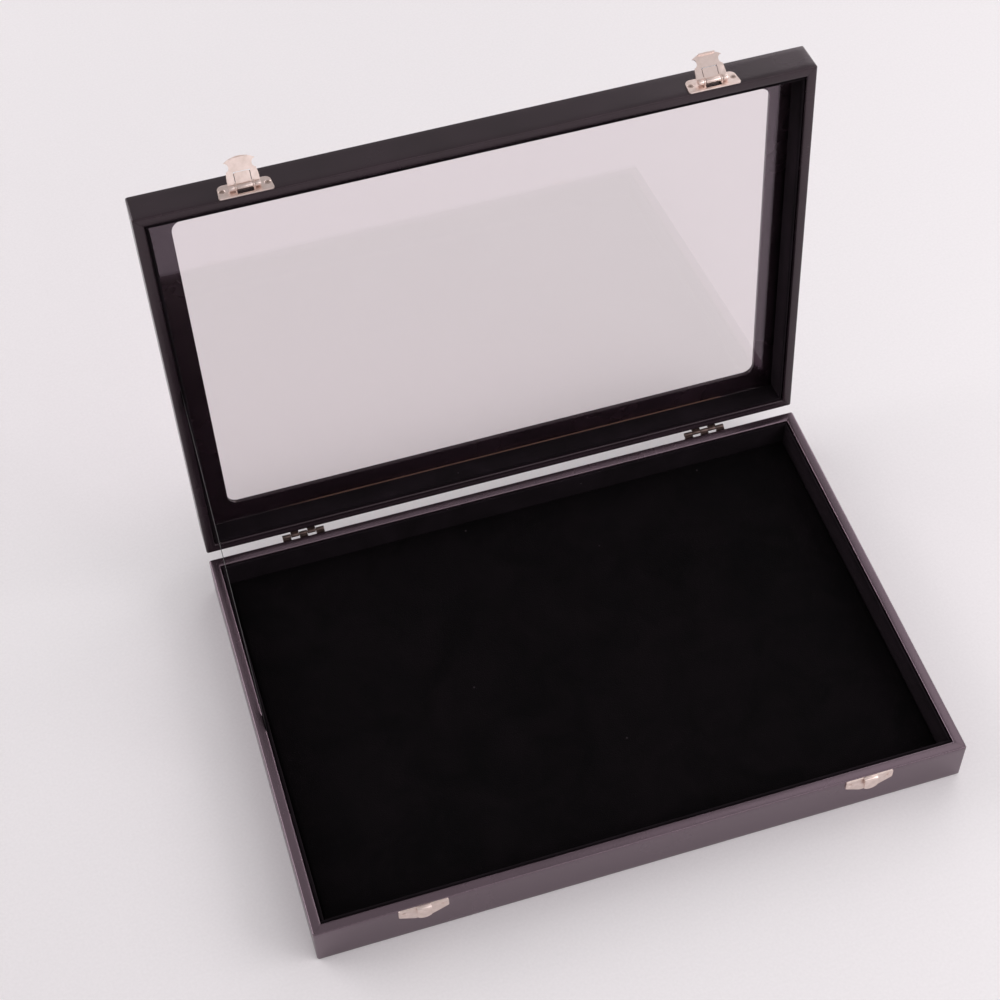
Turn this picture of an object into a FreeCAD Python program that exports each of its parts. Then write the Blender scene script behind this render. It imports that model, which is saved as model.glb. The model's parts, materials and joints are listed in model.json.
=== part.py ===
import FreeCAD, Part
import math
import os

# Hinged display case with a glass lid, shown open against its ribbon stay.
# Frame: origin at the centre of the base's underside, +X right, +Y to the back, +Z up, millimetres.
# Lid pieces are built with the lid shut and are then swung open about the hinge axis.

# ---- driving dimensions -------------------------------------------------------------------
CASE_WIDTH = 350.0          # outside, along X, covering included
CASE_DEPTH = 240.0          # outside, along Y, covering included
BASE_HEIGHT = 27.0
LID_HEIGHT = 19.0
RIM_GAP = 0.5               # between the two rims when the lid is shut
OPEN_ANGLE = 95.0           # lid angle at which the ribbon stay is taut

COVER = 0.4                 # leatherette covering
BOARD = 4.7                 # wall board
CORNER_RADIUS = 1.2         # covered upright edges
EDGE_RADIUS = 0.6           # covered long edges
EDGE_REACH = 2.0            # an edge this near the outside counts as an outside edge
BASE_TURN_IN = 14.0         # covering turned down inside the base wall
LID_TURN_IN = 9.0           # covering turned up inside the lid wall

UNDER_SHEET = 0.5
BOTTOM_BOARD = 2.5
FLOOR_CARD = 2.0
FLOOR_PAD = 8.0
FLOOR_CLEARANCE = 0.5       # pad to liner, each side

LINER = 1.6                 # velvet-covered card strip
LINER_GAP = 0.4             # slit between liner and wall
LINER_DROP = 0.8            # liner edge below the rim

PANEL = 2.1                 # lid board round the window
WINDOW_WIDTH = 313.0
WINDOW_DEPTH = 203.0
WINDOW_RADIUS = 6.0
WINDOW_TURN_IN = 12.0       # covering turned in behind the window's edge
GLASS = 2.0
GLASS_CLEARANCE = 0.5
PACKING = 0.7               # raw card packing strip between glass and rear liner
PACKING_LENGTH = 272.0

HINGE_X = {"left": -120.0, "right": 120.6}
LATCH_X = {"left": -118.6, "right": 120.3}    # latches and catches are nailed on by hand
STEEL = 0.8                 # stamped sheet of plates and leaves
SCREW_SHANK_R = 0.85
SCREW_HEAD_R = 1.45
SCREW_HEAD_H = 0.6
SCREW_LENGTH = 4.4
SCREW_RECESS = 0.15         # head below the plate's face
SCREW_PLAY = 0.05
SLOT_LONG = 0.85            # half length of each arm of the screw's cross slot
SLOT_WIDE = 0.17
SLOT_DEEP = 0.35
MARGIN = 0.1                # how far a cutting tool runs past the face it cuts

HINGE_OFFSET = 2.3          # hinge axis behind the rear walls
HINGE_LENGTH = 24.0
HINGE_LEAF = 10.3           # axis to the leaf's far edge
HINGE_LEAF_START = 2.3      # axis to the leaf's near edge
HINGE_LEAF_CORNER = 1.5
HINGE_SCREW_X = 7.0
HINGE_SCREW_OUT = 6.6       # axis to the screws
KNUCKLE_R = 1.15
KNUCKLE_COUNT = 5
KNUCKLE_GAP = 0.3
KNUCKLE_BITE = 0.25         # how deep the leaf's tab runs into its knuckle
HINGE_PIN_R = 0.55
HINGE_PLAY = 0.05           # radial, pin to knuckle

PLATE_HALF = 13.8           # latch plate half width at the rim
PLATE_HALF_TOP = 13.0
PLATE_HEIGHT = 10.0
PLATE_LIFT = 0.3            # plate edge above the lid rim
PLATE_CORNER = 3.2
PLATE_FOOT_CORNER = 1.0
PLATE_SCREW_X = 11.3
PLATE_SCREW_UP = 5.2        # plate edge to its screws
SLOT_HALF = 4.1
SLOT_START = 1.1            # plate edge to the slot
SLOT_HEIGHT = 3.3

PIVOT_UP = 3.9              # plate edge to the lever pivot
PIVOT_OUT = 2.6             # wall face to the lever pivot
LATCH_PIN_R = 0.6
LATCH_PLAY = 0.06
EAR_INNER = 4.05            # ears stand between the tongue and the rails
EAR_THICK = 0.8
EAR_R = 1.3
EAR_PLAY = 0.02

LEVER_NEAR = 0.75           # pivot axis to the lever's inner face
LEVER_FAR = 1.5             # pivot axis to the lever's outer face
LEVER_ROLL_R = 1.5
RAIL_INNER = 4.15
EAR_CLEARANCE = (5.1, 1.9)  # half width and reach of the rails' notches for the ears
RAIL_OUTER = 7.7
RAIL_BULGE = (7.9, 3.8)     # half width and reach where the rails are widest
RAIL_TOP = (7.3, 7.6)       # half width and reach where the rails end
WAIST = (5.7, 9.9)
HORN = (7.8, 12.1)
LEVER_REACH = 14.5
WINDOW_REACH = 7.2
LIP_HALF = 4.2
LIP_START = 13.3
LIP_END = 14.1
LIP_DEPTH = 0.9             # past the pivot axis, towards the catch
TONGUE_HALF = 3.8
TONGUE_REACH = 6.8
TONGUE_CORNER = 0.8
LEVER_ANGLE = {"left": 60.0, "right": 42.0}   # lifted off the lid wall, as the case stands open

CATCH_HALF = 13.0
CATCH_TOP_DROP = 0.2        # plate edge below the base rim
CATCH_TIP_HEIGHT = 6.0
CATCH_HEIGHT = 10.4
CATCH_FOOT_HALF = 4.6
CATCH_CORNER = 0.9
CATCH_SCREW_X = 10.2
CATCH_SCREW_DROP = 2.9
HOOK_HALF = 3.7
HOOK_GAP = 1.4              # plate to hook, inside
HOOK_BEND_DROP = 0.8        # bend axis below the base rim
HOOK_TIP = 18.75            # height of the hook's rounded end
HOOK_TIP_RADIUS = 4.6

RIBBON_WIDTH = 7.0
RIBBON = 0.26
RIBBON_BASE = (2.0, 22.0)   # Y and Z of its lower anchor
RIBBON_LID = (-6.0, 33.0)   # Y and Z of its upper anchor, lid shut

# ---- derived places -----------------------------------------------------------------------
HALF_X = CASE_WIDTH / 2
HALF_Y = CASE_DEPTH / 2
BOARD_OUT_X = HALF_X - COVER
BOARD_OUT_Y = HALF_Y - COVER
BOARD_IN_X = BOARD_OUT_X - BOARD
BOARD_IN_Y = BOARD_OUT_Y - BOARD
RIM_IN_X = BOARD_IN_X - COVER
RIM_IN_Y = BOARD_IN_Y - COVER
LINER_OUT_X = RIM_IN_X - LINER_GAP
LINER_OUT_Y = RIM_IN_Y - LINER_GAP
LINER_IN_X = LINER_OUT_X - LINER
LINER_IN_Y = LINER_OUT_Y - LINER

FLOOR_Z = UNDER_SHEET + BOTTOM_BOARD
LID_RIM = BASE_HEIGHT + RIM_GAP
LID_TOP = LID_RIM + LID_HEIGHT
PANEL_TOP = LID_TOP - COVER
PANEL_FACE = PANEL_TOP - PANEL
GLASS_TOP = PANEL_FACE - COVER
GLASS_FACE = GLASS_TOP - GLASS

HINGE_Y = HALF_Y + HINGE_OFFSET
HINGE_Z = BASE_HEIGHT + RIM_GAP / 2
PLATE_FOOT = LID_RIM + PLATE_LIFT
PIVOT_Y = -(HALF_Y + PIVOT_OUT)
PIVOT_Z = PLATE_FOOT + PIVOT_UP
CATCH_TOP = BASE_HEIGHT - CATCH_TOP_DROP

X_AXIS = FreeCAD.Vector(1, 0, 0)


# ---- small shape helpers ------------------------------------------------------------------
def point(x, y, z):
    return FreeCAD.Vector(x, y, z)


def block(x0, x1, y0, y1, z0, z1):
    """Plain box between two corners."""
    return Part.makeBox(x1 - x0, y1 - y0, z1 - z0, point(x0, y0, z0))


def slab(half_x, half_y, z0, z1, radius=0.0):
    """Upright prism centred on the Z axis, its upright edges rounded."""
    shape = block(-half_x, half_x, -half_y, half_y, z0, z1)
    if radius:
        uprights = [e for e in shape.Edges if abs(e.tangentAt(e.FirstParameter).z) > 0.99]
        shape = shape.makeFillet(radius, uprights)
    return shape


def rod(radius, x0, x1, y, z):
    """Round bar along X."""
    return Part.makeCylinder(radius, x1 - x0, point(x0, y, z), X_AXIS)


def sheet_from_outline(edges, y0, y1):
    """Flat sheet with an outline drawn in X and Z, from y0 to y1."""
    face = Part.Face(Part.Wire(edges))
    face.translate(point(0, y0, 0))
    return face.extrude(point(0, y1 - y0, 0))


def line(a, b):
    return Part.LineSegment(point(a[0], 0, a[1]), point(b[0], 0, b[1])).toShape()


def arc(a, b, c):
    return Part.Arc(point(a[0], 0, a[1]), point(b[0], 0, b[1]), point(c[0], 0, c[1])).toShape()


def corner_radius(shape, radius, place):
    """Round the edges along Y that pass through the given X and Z places."""
    chosen = []
    for edge in shape.Edges:
        middle = edge.CenterOfMass
        along_y = edge.BoundBox.XLength < 1e-6 and edge.BoundBox.ZLength < 1e-6
        if along_y and any(abs(middle.x - x) < 1e-3 and abs(middle.z - z) < 1e-3 for x, z in place):
            chosen.append(edge)
    return shape.makeFillet(radius, chosen)


def long_edges_at(shape, z, half_x, half_y):
    """Edges of a rounded ring that lie at height z on the given outside."""
    found = []
    for edge in shape.Edges:
        box = edge.BoundBox
        flat = abs(box.ZMin - z) < 1e-6 and abs(box.ZMax - z) < 1e-6
        reach_x = max(abs(box.XMin), abs(box.XMax))
        reach_y = max(abs(box.YMin), abs(box.YMax))
        if flat and (reach_x > half_x - EDGE_REACH or reach_y > half_y - EDGE_REACH):
            found.append(edge)
    return found


def swing_open(shape):
    """Turn a lid piece from its shut place to its open one."""
    turned = shape.copy()
    turned.rotate(point(0, HINGE_Y, HINGE_Z), X_AXIS, -OPEN_ANGLE)
    return turned


def compound(shapes):
    return Part.makeCompound(shapes)


# ---- screws -------------------------------------------------------------------------------
def screw(x, y, z, inward):
    """Countersunk cross-slot screw; y is the plate's face and inward is +1 or -1 along Y."""
    top = y + inward * SCREW_RECESS
    axis = point(0, inward, 0)
    head = Part.makeCone(SCREW_HEAD_R, SCREW_SHANK_R, SCREW_HEAD_H, point(x, top, z), axis)
    shank = Part.makeCylinder(SCREW_SHANK_R, SCREW_LENGTH, point(x, top, z), axis)
    body = head.fuse(shank)
    low, high = sorted((top - inward * MARGIN, top + inward * SLOT_DEEP))
    for half_x, half_z in ((SLOT_LONG, SLOT_WIDE), (SLOT_WIDE, SLOT_LONG)):
        body = body.cut(block(x - half_x, x + half_x, low, high, z - half_z, z + half_z))
    return body


def screw_hole(x, y, z, inward):
    """Room for one screw in a plate and the board behind it."""
    axis = point(0, inward, 0)
    start = y - inward * SCREW_PLAY / 5
    sink = Part.makeCone(SCREW_HEAD_R + SCREW_PLAY + SCREW_RECESS, SCREW_SHANK_R + SCREW_PLAY,
                         SCREW_HEAD_H + SCREW_RECESS, point(x, start, z), axis)
    depth = SCREW_LENGTH + SCREW_RECESS + SCREW_PLAY
    shank = Part.makeCylinder(SCREW_SHANK_R + SCREW_PLAY, depth, point(x, start, z), axis)
    return sink.fuse(shank)


def pairs(centres, offset, z):
    """Screw places either side of each left and right fitting."""
    return [(centre + side * offset, z) for centre in centres.values() for side in (-1, 1)]


CATCH_SCREWS = pairs(LATCH_X, CATCH_SCREW_X, CATCH_TOP - CATCH_SCREW_DROP)
LATCH_SCREWS = pairs(LATCH_X, PLATE_SCREW_X, PLATE_FOOT + PLATE_SCREW_UP)
BASE_HINGE_SCREWS = pairs(HINGE_X, HINGE_SCREW_X, HINGE_Z - HINGE_SCREW_OUT)
LID_HINGE_SCREWS = pairs(HINGE_X, HINGE_SCREW_X, HINGE_Z + HINGE_SCREW_OUT)
FRONT_FACE = -(HALF_Y + STEEL)
REAR_FACE = HALF_Y + STEEL


def screws(places, y, inward):
    return compound([screw(x, y, z, inward) for x, z in places])


def drilled(shape, places, y, inward):
    """Cut the screw holes out of a plate, board or covering."""
    return shape.cut(compound([screw_hole(x, y, z, inward) for x, z in places]))


# ---- boards, covering and linings ---------------------------------------------------------
def walls(z0, z1):
    """Four wall boards: front and rear run the full width, the sides stand between them."""
    return {
        "front_wall": block(-BOARD_OUT_X, BOARD_OUT_X, -BOARD_OUT_Y, -BOARD_IN_Y, z0, z1),
        "rear_wall": block(-BOARD_OUT_X, BOARD_OUT_X, BOARD_IN_Y, BOARD_OUT_Y, z0, z1),
        "left_wall": block(-BOARD_OUT_X, -BOARD_IN_X, -BOARD_IN_Y, BOARD_IN_Y, z0, z1),
        "right_wall": block(BOARD_IN_X, BOARD_OUT_X, -BOARD_IN_Y, BOARD_IN_Y, z0, z1),
    }


def liner_strips(z0, z1, z1_rear):
    """Four velvet-covered strips just inside the walls."""
    return {
        "liner_front": block(-LINER_OUT_X, LINER_OUT_X, -LINER_OUT_Y, -LINER_IN_Y, z0, z1),
        "liner_rear": block(-LINER_OUT_X, LINER_OUT_X, LINER_IN_Y, LINER_OUT_Y, z0, z1_rear),
        "liner_left": block(-LINER_OUT_X, -LINER_IN_X, -LINER_IN_Y, LINER_IN_Y, z0, z1),
        "liner_right": block(LINER_IN_X, LINER_OUT_X, -LINER_IN_Y, LINER_IN_Y, z0, z1),
    }


def base_covering():
    """Leatherette outside, over the rim and down the inside of the base walls."""
    skin = slab(HALF_X, HALF_Y, UNDER_SHEET, BASE_HEIGHT, CORNER_RADIUS)
    skin = skin.makeFillet(EDGE_RADIUS, long_edges_at(skin, BASE_HEIGHT, HALF_X, HALF_Y))
    boards = slab(BOARD_OUT_X, BOARD_OUT_Y, UNDER_SHEET - 1, BASE_HEIGHT - COVER)
    turned = slab(BOARD_IN_X, BOARD_IN_Y, BASE_HEIGHT - BASE_TURN_IN, BASE_HEIGHT - COVER)
    inside = slab(RIM_IN_X, RIM_IN_Y, UNDER_SHEET - 1, BASE_HEIGHT + 1)
    return skin.cut(boards.cut(turned)).cut(inside)


def lid_covering():
    """Leatherette over the lid, round the window edge, over the rim and up inside the walls."""
    skin = slab(HALF_X, HALF_Y, LID_RIM, LID_TOP, CORNER_RADIUS)
    edges = long_edges_at(skin, LID_RIM, HALF_X, HALF_Y) + long_edges_at(skin, LID_TOP, HALF_X, HALF_Y)
    skin = skin.makeFillet(EDGE_RADIUS, edges)
    boards = slab(BOARD_OUT_X, BOARD_OUT_Y, LID_RIM + COVER, PANEL_TOP)
    turned = slab(BOARD_IN_X, BOARD_IN_Y, LID_RIM + COVER, LID_RIM + LID_TURN_IN)
    window_edge = slab(WINDOW_WIDTH / 2 + COVER, WINDOW_DEPTH / 2 + COVER, PANEL_FACE, PANEL_TOP,
                       WINDOW_RADIUS + COVER)
    behind = slab(WINDOW_WIDTH / 2 + WINDOW_TURN_IN, WINDOW_DEPTH / 2 + WINDOW_TURN_IN, GLASS_TOP,
                  PANEL_FACE, WINDOW_RADIUS)
    inside = slab(RIM_IN_X, RIM_IN_Y, LID_RIM - 1, LID_RIM + LID_TURN_IN)
    window = slab(WINDOW_WIDTH / 2, WINDOW_DEPTH / 2, GLASS_FACE, LID_TOP + 1, WINDOW_RADIUS)
    return skin.cut(boards.cut(turned).cut(window_edge).cut(behind)).cut(inside).cut(window)


def window_panel():
    """Thin board between the lid walls with the rounded window cut out of it."""
    board = slab(BOARD_IN_X, BOARD_IN_Y, PANEL_FACE, PANEL_TOP)
    cut_out = slab(WINDOW_WIDTH / 2 + COVER, WINDOW_DEPTH / 2 + COVER, PANEL_FACE - 1, PANEL_TOP + 1,
                   WINDOW_RADIUS + COVER)
    return board.cut(cut_out)


def base_box():
    parts = {}
    for name, wall in walls(UNDER_SHEET, BASE_HEIGHT - COVER).items():
        parts["base_" + name] = wall
    parts["base_front_wall"] = drilled(parts["base_front_wall"], CATCH_SCREWS, FRONT_FACE, 1)
    parts["base_rear_wall"] = drilled(parts["base_rear_wall"], BASE_HINGE_SCREWS, REAR_FACE, -1)
    covering = drilled(base_covering(), CATCH_SCREWS, FRONT_FACE, 1)
    parts["base_leatherette"] = drilled(covering, BASE_HINGE_SCREWS, REAR_FACE, -1)
    parts["base_under_sheet"] = slab(HALF_X - 2, HALF_Y - 2, 0, UNDER_SHEET)
    parts["base_bottom_board"] = slab(BOARD_IN_X, BOARD_IN_Y, UNDER_SHEET, FLOOR_Z)
    top = BASE_HEIGHT - LINER_DROP
    for name, strip in liner_strips(FLOOR_Z, top, top).items():
        parts["base_" + name] = strip
    pad_x = LINER_IN_X - FLOOR_CLEARANCE
    pad_y = LINER_IN_Y - FLOOR_CLEARANCE
    parts["base_floor_card"] = slab(pad_x, pad_y, FLOOR_Z, FLOOR_Z + FLOOR_CARD)
    parts["base_floor_pad"] = slab(pad_x, pad_y, FLOOR_Z + FLOOR_CARD, FLOOR_Z + FLOOR_CARD + FLOOR_PAD)
    return parts


def lid_box():
    parts = {}
    for name, wall in walls(LID_RIM + COVER, PANEL_TOP).items():
        parts["lid_" + name] = wall
    parts["lid_front_wall"] = drilled(parts["lid_front_wall"], LATCH_SCREWS, FRONT_FACE, 1)
    parts["lid_rear_wall"] = drilled(parts["lid_rear_wall"], LID_HINGE_SCREWS, REAR_FACE, -1)
    covering = drilled(lid_covering(), LATCH_SCREWS, FRONT_FACE, 1)
    parts["lid_leatherette"] = drilled(covering, LID_HINGE_SCREWS, REAR_FACE, -1)
    parts["lid_window_panel"] = window_panel()
    parts["lid_glass"] = slab(BOARD_IN_X - GLASS_CLEARANCE, BOARD_IN_Y - GLASS_CLEARANCE,
                              GLASS_FACE, GLASS_TOP)
    for name, strip in liner_strips(LID_RIM + LINER_DROP, GLASS_FACE, GLASS_FACE - PACKING).items():
        parts["lid_" + name] = strip
    parts["glass_packing_strip"] = block(-PACKING_LENGTH / 2, PACKING_LENGTH / 2, LINER_IN_Y, LINER_OUT_Y,
                                         GLASS_FACE - PACKING, GLASS_FACE)
    return parts


# ---- butt hinges --------------------------------------------------------------------------
def hinge_leaf(x, upward, own_knuckles):
    """One hinge leaf on the rear wall; upward is +1 for the lid's leaf and -1 for the base's."""
    y0 = HALF_Y
    y1 = HALF_Y + STEEL
    low, high = sorted((HINGE_Z + upward * HINGE_LEAF_START, HINGE_Z + upward * HINGE_LEAF))
    half = HINGE_LENGTH / 2
    leaf = block(-half, half, y0, y1, low, high)
    far = HINGE_Z + upward * HINGE_LEAF
    leaf = corner_radius(leaf, HINGE_LEAF_CORNER, [(-half, far), (half, far)])
    step = HINGE_LENGTH / KNUCKLE_COUNT
    for index in own_knuckles:
        x0 = -half + index * step + (KNUCKLE_GAP / 2 if index else 0)
        x1 = -half + (index + 1) * step - (KNUCKLE_GAP / 2 if index < KNUCKLE_COUNT - 1 else 0)
        tab_low, tab_high = sorted((HINGE_Z, HINGE_Z + upward * (HINGE_LEAF_START + MARGIN)))
        tab_far = HINGE_Y - KNUCKLE_R + KNUCKLE_BITE
        leaf = leaf.fuse(block(x0, x1, y0, tab_far, tab_low, tab_high))
        leaf = leaf.fuse(rod(KNUCKLE_R, x0, x1, HINGE_Y, HINGE_Z))
    leaf = leaf.cut(rod(HINGE_PIN_R + HINGE_PLAY, -half - 1, half + 1, HINGE_Y, HINGE_Z))
    leaf = leaf.removeSplitter()
    leaf.translate(point(x, 0, 0))
    places = BASE_HINGE_SCREWS if upward < 0 else LID_HINGE_SCREWS
    return drilled(leaf, places, REAR_FACE, -1)


def hinge_pin(x):
    half = HINGE_LENGTH / 2
    return rod(HINGE_PIN_R, x - half, x + half, HINGE_Y, HINGE_Z)


# ---- latches on the lid -------------------------------------------------------------------
def latch_plate(x):
    """Stamped plate with a slot, and the two ears folded out of it that hold the pin."""
    y0 = FRONT_FACE
    y1 = -HALF_Y
    top = PLATE_FOOT + PLATE_HEIGHT
    corners = [(-PLATE_HALF, PLATE_FOOT), (PLATE_HALF, PLATE_FOOT),
               (PLATE_HALF_TOP, top), (-PLATE_HALF_TOP, top)]
    outline = [line(corners[i], corners[(i + 1) % 4]) for i in range(4)]
    plate = sheet_from_outline(outline, y0, y1)
    plate = corner_radius(plate, PLATE_CORNER, corners[2:])
    plate = corner_radius(plate, PLATE_FOOT_CORNER, corners[:2])
    slot_z = PLATE_FOOT + SLOT_START
    plate = plate.cut(block(-SLOT_HALF, SLOT_HALF, y0 - 1, y1 + 1, slot_z, slot_z + SLOT_HEIGHT))
    for side in (-1, 1):
        x0, x1 = sorted((side * EAR_INNER, side * (EAR_INNER + EAR_THICK)))
        plate = plate.fuse(block(x0, x1, PIVOT_Y, y0 + MARGIN, PIVOT_Z - EAR_R, PIVOT_Z + EAR_R))
        plate = plate.fuse(rod(EAR_R, x0, x1, PIVOT_Y, PIVOT_Z))
    plate = plate.cut(rod(LATCH_PIN_R + EAR_PLAY, -PLATE_HALF, PLATE_HALF, PIVOT_Y, PIVOT_Z))
    plate = plate.removeSplitter()
    plate.translate(point(x, 0, 0))
    return drilled(plate, LATCH_SCREWS, FRONT_FACE, 1)


def latch_pin(x):
    """Pin through the lever's rolled ends, the ears and the tongue."""
    return rod(LATCH_PIN_R, x - RAIL_OUTER, x + RAIL_OUTER, PIVOT_Y, PIVOT_Z)


def placed_on_pivot(shape, x, angle):
    """Carry a lever piece, drawn round the pivot and pointing up, to its place and angle."""
    shape.rotate(point(0, 0, 0), X_AXIS, angle)
    shape.translate(point(x, PIVOT_Y, PIVOT_Z))
    return shape


def latch_lever(x, angle):
    """Fork with a waisted head, two horns and a small inward lip that holds the catch."""
    foot = (RAIL_OUTER, 0.0)
    left_foot, left_bulge, left_rail, left_waist, left_horn = [
        (-half, reach) for half, reach in (foot, RAIL_BULGE, RAIL_TOP, WAIST, HORN)]
    outline = [
        line(left_foot, foot),
        arc(foot, RAIL_BULGE, RAIL_TOP),
        arc(RAIL_TOP, WAIST, HORN),
        arc(HORN, (0.0, LEVER_REACH), left_horn),
        arc(left_horn, left_waist, left_rail),
        arc(left_rail, left_bulge, left_foot),
    ]
    lever = sheet_from_outline(outline, LEVER_NEAR, LEVER_FAR)
    ear_half, ear_reach = EAR_CLEARANCE
    for side in (-1, 1):
        x0, x1 = sorted((side * ear_half, side * RAIL_OUTER))
        lever = lever.fuse(rod(LEVER_ROLL_R, x0, x1, 0, 0))
    clear = LEVER_FAR + 1
    lever = lever.cut(block(-RAIL_INNER, RAIL_INNER, -clear, clear, -clear, WINDOW_REACH))
    lever = lever.cut(block(-ear_half, ear_half, -clear, clear, -clear, ear_reach))
    lever = lever.fuse(block(-LIP_HALF, LIP_HALF, -LIP_DEPTH, LEVER_NEAR + MARGIN, LIP_START, LIP_END))
    lever = lever.cut(rod(LATCH_PIN_R + LATCH_PLAY, -RAIL_OUTER - 1, RAIL_OUTER + 1, 0, 0))
    return placed_on_pivot(lever.removeSplitter(), x, angle)


def latch_tongue(x, angle):
    """Flat spring tongue rolled round the pin, lying in the lever's window."""
    tongue = block(-TONGUE_HALF, TONGUE_HALF, LEVER_NEAR, LEVER_FAR, 0, TONGUE_REACH)
    tips = [(-TONGUE_HALF, TONGUE_REACH), (TONGUE_HALF, TONGUE_REACH)]
    tongue = corner_radius(tongue, TONGUE_CORNER, tips)
    tongue = tongue.fuse(rod(LEVER_ROLL_R, -TONGUE_HALF, TONGUE_HALF, 0, 0))
    tongue = tongue.cut(rod(LATCH_PIN_R + LATCH_PLAY, -TONGUE_HALF - 1, TONGUE_HALF + 1, 0, 0))
    return placed_on_pivot(tongue.removeSplitter(), x, angle)


# ---- catches on the base ------------------------------------------------------------------
def catch_plate(x):
    """Bow-shaped plate whose middle is folded over its top edge into a hook that points down."""
    y0 = FRONT_FACE
    y1 = -HALF_Y
    tip = CATCH_TOP - CATCH_TIP_HEIGHT
    foot = CATCH_TOP - CATCH_HEIGHT
    corners = [(-CATCH_HALF, CATCH_TOP), (CATCH_HALF, CATCH_TOP), (CATCH_HALF, tip),
               (CATCH_FOOT_HALF, foot), (-CATCH_FOOT_HALF, foot), (-CATCH_HALF, tip)]
    outline = [line(corners[i], corners[(i + 1) % 6]) for i in range(6)]
    plate = sheet_from_outline(outline, y0, y1)
    plate = corner_radius(plate, CATCH_CORNER, corners)
    bend_z = BASE_HEIGHT - HOOK_BEND_DROP
    bend_y = y0 - HOOK_GAP / 2
    bend_in = HOOK_GAP / 2
    bend_out = bend_in + STEEL
    bend = rod(bend_out, -HOOK_HALF, HOOK_HALF, bend_y, bend_z)
    bend = bend.cut(rod(bend_in, -HOOK_HALF - 1, HOOK_HALF + 1, bend_y, bend_z))
    bend = bend.common(block(-HOOK_HALF, HOOK_HALF, bend_y - bend_out, bend_y + bend_out,
                             bend_z, bend_z + bend_out))
    half_chord = math.sqrt(HOOK_TIP_RADIUS ** 2 - HOOK_HALF ** 2)
    shoulder = HOOK_TIP + HOOK_TIP_RADIUS - half_chord
    hook_outline = [
        line((-HOOK_HALF, bend_z), (HOOK_HALF, bend_z)),
        line((HOOK_HALF, bend_z), (HOOK_HALF, shoulder)),
        arc((HOOK_HALF, shoulder), (0.0, HOOK_TIP), (-HOOK_HALF, shoulder)),
        line((-HOOK_HALF, shoulder), (-HOOK_HALF, bend_z)),
    ]
    hook = sheet_from_outline(hook_outline, bend_y - bend_out, bend_y - bend_in)
    plate = plate.fuse(bend).fuse(hook).removeSplitter()
    plate.translate(point(x, 0, 0))
    return drilled(plate, CATCH_SCREWS, FRONT_FACE, 1)


# ---- ribbon stay --------------------------------------------------------------------------
def lid_stay_ribbon():
    """Taut ribbon from the base's left wall to the lid's, standing in the slits beside the liners."""
    upper = Part.Vertex(0, RIBBON_LID[0], RIBBON_LID[1])
    upper = swing_open(upper).Point
    dy = upper.y - RIBBON_BASE[0]
    dz = upper.z - RIBBON_BASE[1]
    length = math.hypot(dy, dz)
    x = -(RIM_IN_X - LINER_GAP / 2)
    ribbon = block(x - RIBBON / 2, x + RIBBON / 2, 0, length, -RIBBON_WIDTH / 2, RIBBON_WIDTH / 2)
    ribbon.rotate(point(0, 0, 0), X_AXIS, math.degrees(math.atan2(dz, dy)))
    ribbon.translate(point(0, RIBBON_BASE[0], RIBBON_BASE[1]))
    return ribbon


def build():
    nodes = base_box()
    lid_nodes = lid_box()
    nodes["catch_screws"] = screws(CATCH_SCREWS, FRONT_FACE, 1)
    nodes["base_hinge_screws"] = screws(BASE_HINGE_SCREWS, REAR_FACE, -1)
    lid_nodes["latch_screws"] = screws(LATCH_SCREWS, FRONT_FACE, 1)
    lid_nodes["lid_hinge_screws"] = screws(LID_HINGE_SCREWS, REAR_FACE, -1)
    for side, x in HINGE_X.items():
        nodes["base_hinge_leaf_" + side] = hinge_leaf(x, -1, range(0, KNUCKLE_COUNT, 2))
        nodes["hinge_pin_" + side] = hinge_pin(x)
        lid_nodes["lid_hinge_leaf_" + side] = hinge_leaf(x, 1, range(1, KNUCKLE_COUNT, 2))
    for side, x in LATCH_X.items():
        nodes["catch_plate_" + side] = catch_plate(x)
        lid_nodes["latch_plate_" + side] = latch_plate(x)
        lid_nodes["latch_pin_" + side] = latch_pin(x)
        lid_nodes["latch_lever_" + side] = latch_lever(x, LEVER_ANGLE[side])
        lid_nodes["latch_tongue_" + side] = latch_tongue(x, LEVER_ANGLE[side])
    for name, shape in lid_nodes.items():
        nodes[name] = swing_open(shape)
    nodes["lid_stay_ribbon"] = lid_stay_ribbon()
    return nodes


os.makedirs("parts", exist_ok=True)
for name, shape in build().items():
    shape.exportStep("parts/" + name + ".step")
    print(name, len(shape.Solids), round(shape.Volume, 1), shape.isValid())
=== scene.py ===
import json
import math

import bmesh
import bpy
from mathutils import Matrix, Vector, noise


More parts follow.
